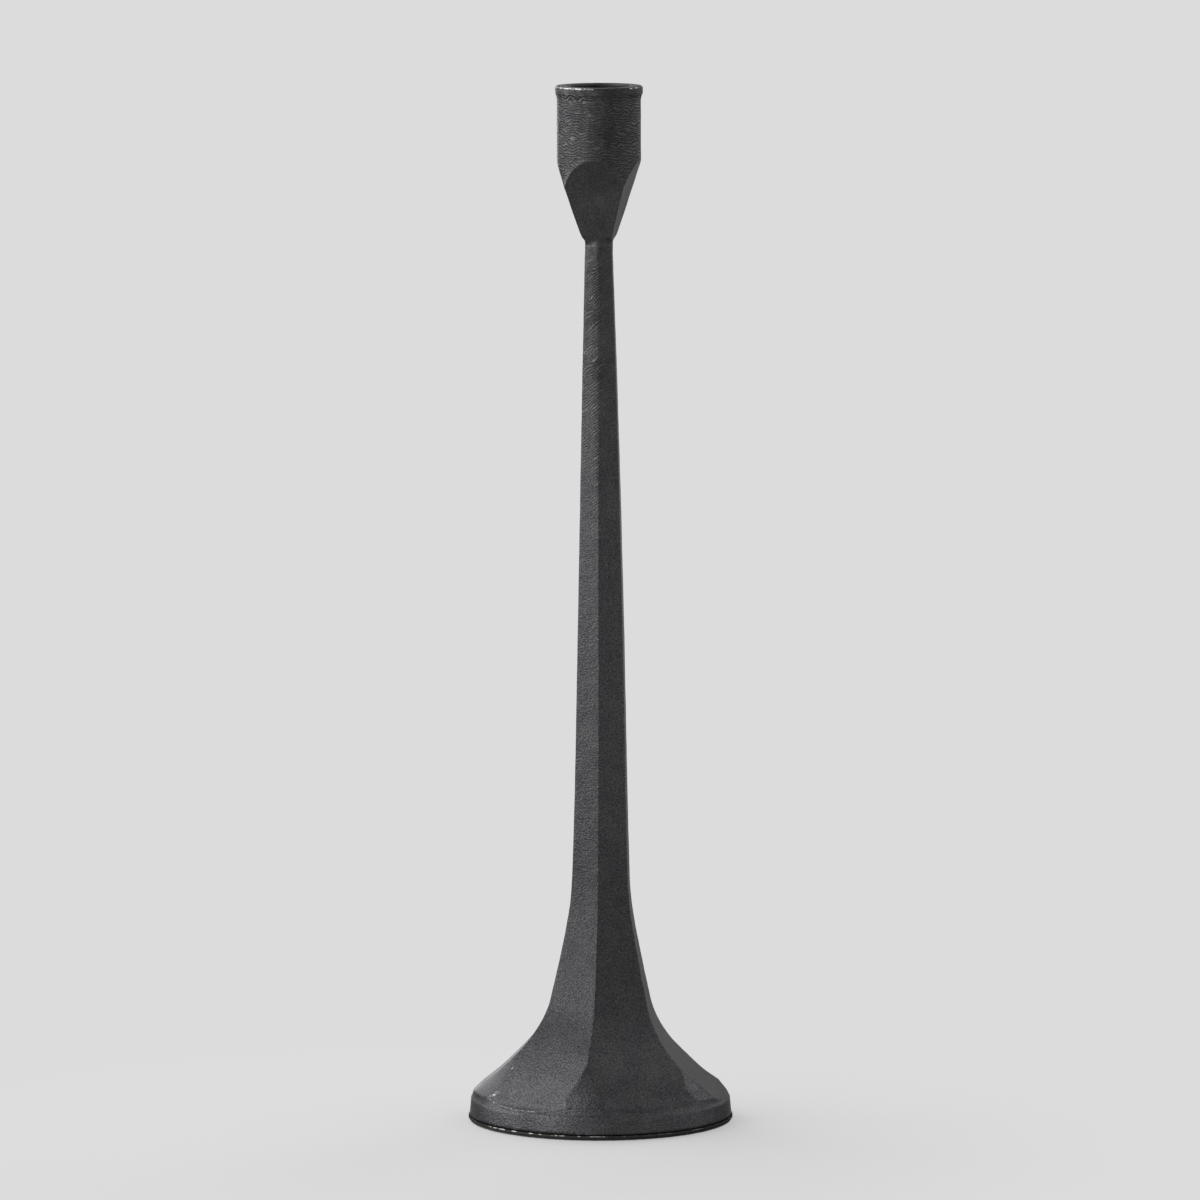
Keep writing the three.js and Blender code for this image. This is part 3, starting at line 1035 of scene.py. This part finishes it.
def make_pad(felt):
    """Felt ring glued under the plate, its edges softened and its face a little tufted."""
    low, high = 0.1 * MM, pad_high.z - 0.02 * MM
    inner, outer = 18.15 * MM, pad_high.x - 0.12 * MM
    soft = 0.35 * MM
    edge = rounded((outer - soft, low), (outer, low), (outer, low + soft), 4)
    across = [(between(outer - soft, inner + soft, step / 60), low) for step in range(1, 60)]
    top_across = [(between(inner, outer, step / 6), high) for step in range(0, 7)]
    hole = rounded((inner + soft, low), (inner, low), (inner, low + soft), 4)
    profile = [*reversed(across), *edge, *reversed(top_across), *reversed(hole), across[-1]]
    pad = turned("felt_ring", profile, 256)
    tuft, tuft_depth = 0.9 * MM, 0.16 * MM
    uneven(pad, tuft, tuft_depth, lambda co: co.z < low + soft)
    hand_over(pad, "felt_pad", felt, SHARP_FELT)


def make_tie_bolt(zinc):
    """Hexagon bolt: a forged head, chamfered all round, on a rolled shank."""
    across, head, end = 10 * MM, 4 * MM, bolt_high.z
    floor = head_low.z
    sides = [(turn, 1.0) for turn in range(0, 360, 60)]
    bolt = many_sided("tie_screw", sides, [(across / 2, floor), (across / 2, floor + head)])
    chamfer = 0.62 * MM
    corner = across / 2 / math.cos(math.pi / 6)
    form = [
        (0.94 * across / 2, floor),
        (corner, floor + chamfer),
        (corner, floor + head - 0.3 * MM),
        (0.97 * across / 2, floor + head),
    ]
    cut(bolt, turned("chamfer", form, 96), "INTERSECT")
    tip = 0.6 * MM
    shank = turned("shank", [(BOLT, floor + head - tip), (BOLT, end - tip), (BOLT - tip, end)], 48)
    cut(bolt, shank, "UNION")
    hand_over(bolt, "tie_bolt", zinc, SHARP_SCREW)


def washer_profile(hole, outer, low, high, ease_by):
    return [
        (hole, low + ease_by),
        (hole + ease_by, low),
        (outer - ease_by, low),
        (outer, low + ease_by),
        (outer, high - ease_by),
        (outer - ease_by, high),
        (hole + ease_by, high),
        (hole, high - ease_by),
        (hole, low + ease_by),
    ]


def make_flat_washer(zinc):
    profile = washer_profile(BOLT + FIT, flat_high.x, flat_low.z, flat_high.z, 0.2 * MM)
    washer = turned("flat_ring", profile, 96)
    hand_over(washer, "flat_washer", zinc, SHARP_SCREW)


def make_lock_washer(zinc):
    """Spring washer: a square wire bent round, its cut ends a little apart."""
    outer = max(lock_high.x, -lock_low.x)
    profile = washer_profile(BOLT + FIT, outer, lock_low.z, lock_high.z, 0.15 * MM)
    washer = turned("split_ring", profile, 96)
    bpy.ops.mesh.primitive_cube_add(size=1, location=(outer, 0, lock_low.z))
    gap = just_added("gap")
    gap.scale = (outer * 1.4, 1.1 * MM, 8 * MM)
    gap.rotation_euler = (math.radians(25), 0, 0)
    bpy.ops.object.transform_apply(location=True, rotation=True, scale=True)
    cut(washer, gap)
    hand_over(washer, "lock_washer", zinc, SHARP_SCREW)


def dress_cad(name, material):
    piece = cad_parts[name]
    piece.data.materials.clear()
    piece.data.materials.append(material)


def make_camera():
    """The photograph's view, worked out from the outline and the ellipses of rim and foot."""
    distance, eye, drop, roll = 3.561, 0.626, math.radians(6.95), math.radians(-0.102)
    aside = 0.12 * MM
    bpy.ops.object.camera_add(location=(aside, -distance, eye))
    camera = bpy.context.object
    camera.name = "photo_camera"
    turn = Matrix.Rotation(math.pi / 2 - drop, 3, "X") @ Matrix.Rotation(roll, 3, "Z")
    camera.rotation_euler = turn.to_euler()
    camera.data.sensor_width = 36
    camera.data.lens = 294.63
    camera.data.clip_end = 200
    bpy.context.scene.camera = camera


# Soft lamps: degrees round from the front, degrees up, width and height in metres, and how many
# times as bright as white paper their faces are
LAMPS = {
    "low_left": (-98, 4, 1.2, 0.6, 5.0),
    "low_front_left": (-47, 5, 0.6, 0.68, 5.2),
    "low_behind_left": (-158, 6, 0.9, 0.6, 4.2),
    "left": (-78, 35, 0.75, 0.68, 1.3),
    "behind_left": (-137, 32, 0.75, 0.8, 3.9),
    "top_left": (-110, 60, 0.62, 0.68, 4.9),
    "behind": (165, 5, 0.65, 0.68, 0.45),
    "high_behind": (-174, 40, 0.8, 0.45, 2.6),
    "behind_right": (135, 20, 0.6, 1.2, 3.2),
    "right": (80, 45, 0.9, 1.1, 0.8),
    "front_right": (47, 6, 0.6, 0.68, 0.4),
    "low_right": (92, 5, 0.8, 0.68, 0.9),
    "front": (-15, 5, 0.6, 0.68, 1.1),
}
STEM_MIDDLE = Vector((0, 0, 0.19))
LAMP_DISTANCE = 1.3


def softbox(name, around, up, wide, tall, glow):
    """A soft lamp that looks at the middle of the stem."""
    turn, rise = math.radians(around), math.radians(up)
    away = Vector((math.sin(turn) * math.cos(rise), -math.cos(turn) * math.cos(rise), math.sin(rise)))
    bpy.ops.object.light_add(type="AREA", location=STEM_MIDDLE + LAMP_DISTANCE * away)
    lamp = bpy.context.object
    lamp.name = name
    lamp.data.shape = "RECTANGLE"
    lamp.data.size, lamp.data.size_y = wide, tall
    lamp.data.energy = glow * math.pi * wide * tall
    lamp.rotation_euler = away.to_track_quat("Z", "Y").to_euler()
    lamp.visible_camera = False


PAPER = "#dcdcdc"
PAPER_LIT = "#bcbcbc"
ROOM_GLOW = 0.3
# The paper is given a painted shade, darkest round this place and out to the second distance, where less
# of its even glow is mixed in; there the holder's real shadow shows too
SHADE_MIDDLE = (-0.04, -0.055, 0)
SHADE_NEAR, SHADE_FAR = 0.04, 0.26
SHADE_GLOW = 0.5


def seen_directly(tree):
    """1 for what the camera sees itself, or in metal or glass."""
    path = node(tree, "ShaderNodeLightPath").outputs
    mirror = node(
        tree,
        "ShaderNodeMath",
        {0: path["Is Glossy Ray"], 1: path["Is Transmission Ray"]},
        operation="ADD",
    )
    return node(
        tree, "ShaderNodeMath", {0: path["Is Camera Ray"], 1: mirror}, operation="ADD", use_clamp=True
    )


def make_floor():
    """Pale seamless paper that keeps the soft shadow of the holder."""
    bpy.ops.mesh.primitive_grid_add(x_subdivisions=8, y_subdivisions=8, size=60)
    floor = just_added("paper_floor")
    material, tree, shader = new_material("studio_paper")
    shader.inputs["Base Color"].default_value = linear(PAPER_LIT)
    shader.inputs["Roughness"].default_value = 1.0
    shader.inputs["Specular IOR Level"].default_value = 0.0
    glow = node(tree, "ShaderNodeEmission", {"Color": linear(PAPER), "Strength": 1.0})
    place = node(tree, "ShaderNodeTexCoord").outputs["Object"]
    away = node(tree, "ShaderNodeVectorMath", {0: place, 1: SHADE_MIDDLE}, operation="DISTANCE")
    even = node(
        tree,
        "ShaderNodeMapRange",
        {
            "Value": away.outputs["Value"],
            "From Min": SHADE_NEAR,
            "From Max": SHADE_FAR,
            "To Min": SHADE_GLOW,
            "To Max": 1.0,
        },
        interpolation_type="SMOOTHSTEP",
    )
    share = node(tree, "ShaderNodeMath", {0: seen_directly(tree), 1: even}, operation="MULTIPLY")
    mixed = node(tree, "ShaderNodeMixShader", {0: share, 1: shader, 2: glow})
    tree.links.new(mixed.outputs["Shader"], tree.nodes["Material Output"].inputs["Surface"])
    floor.data.materials.append(material)


def make_world():
    """Pale paper all round for the eye, and a dimmer room for the light."""
    world = bpy.data.worlds.new("studio")
    world.use_nodes = True
    bpy.context.scene.world = world
    tree = world.node_tree
    paper = tree.nodes["Background"]
    paper.inputs["Color"].default_value = linear(PAPER)
    room = node(tree, "ShaderNodeBackground", {"Color": linear(PAPER), "Strength": ROOM_GLOW})
    mixed = node(tree, "ShaderNodeMixShader", {0: seen_directly(tree), 1: room, 2: paper})
    tree.links.new(mixed.outputs["Shader"], tree.nodes["World Output"].inputs["Surface"])


make_camera()
iron = waxed_cast_iron()
steel = blackened_sheet_steel()
zinc = zinc_plated_steel()
felt = pressed_felt()
make_foot(iron)
collar = make_stem(iron)
make_cup(iron, collar)
make_plate(steel)
make_pad(felt)
make_tie_bolt(zinc)
make_flat_washer(zinc)
make_lock_washer(zinc)
dress_cad("neck_stud", zinc)
make_floor()
make_world()
for name, lamp in LAMPS.items():
    softbox(name, *lamp)
bpy.context.scene.view_settings.view_transform = "Standard"
